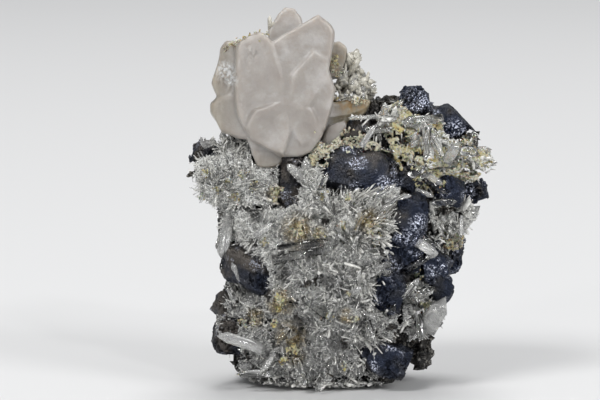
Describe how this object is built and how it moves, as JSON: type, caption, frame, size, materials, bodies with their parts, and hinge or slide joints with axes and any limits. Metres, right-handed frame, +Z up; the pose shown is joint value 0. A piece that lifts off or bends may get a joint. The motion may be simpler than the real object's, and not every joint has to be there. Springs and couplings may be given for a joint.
{
  "type": "galena mineral specimen",
  "caption": "Dark sulphide rock grown over with lead-grey galena, needle quartz sprays, yellow carbonate crust and a pale calcite rosette; stands on a flat break.",
  "frame": {"origin": "on the flat break that the rock rests on, below the middle of the specimen", "axes": "+Z up, -Y out of the specimen's display face, +X to the right as seen from in front"},
  "size_m": [0.0736, 0.0465, 0.089],
  "materials": {
    "sulphide": "satin",
    "galena": "satin",
    "calcite": "gloss",
    "quartz": "gloss",
    "crust": "matte"
  },
  "bodies": {
    "root": {"sulphide_matrix": "sulphide", "galena_heart": "galena", "galena_plate": "galena", "galena_bead": "galena", "galena_crown": "galena", "galena_right_inner": "galena", "galena_right_outer": "galena", "galena_chain": "galena", "galena_right_low": "galena", "galena_oval": "galena", "galena_foot_left": "galena", "galena_foot_right": "galena", "galena_shoulder": "galena", "galena_back_upper": "galena", "galena_back_lower": "galena", "galena_back_side": "galena", "calcite_rosette": "calcite", "quartz_shoulder": "quartz", "quartz_pillar": "quartz", "quartz_front": "quartz", "quartz_foot_right": "quartz", "quartz_mid_right": "quartz", "quartz_flank_right": "quartz", "quartz_crown": "quartz", "quartz_bridge": "quartz", "quartz_calcite_side": "quartz", "quartz_back_upper": "quartz", "quartz_back_lower": "quartz", "crust_crown": "crust", "crust_heart": "crust", "crust_flank": "crust"}
  },
  "joints": []
}
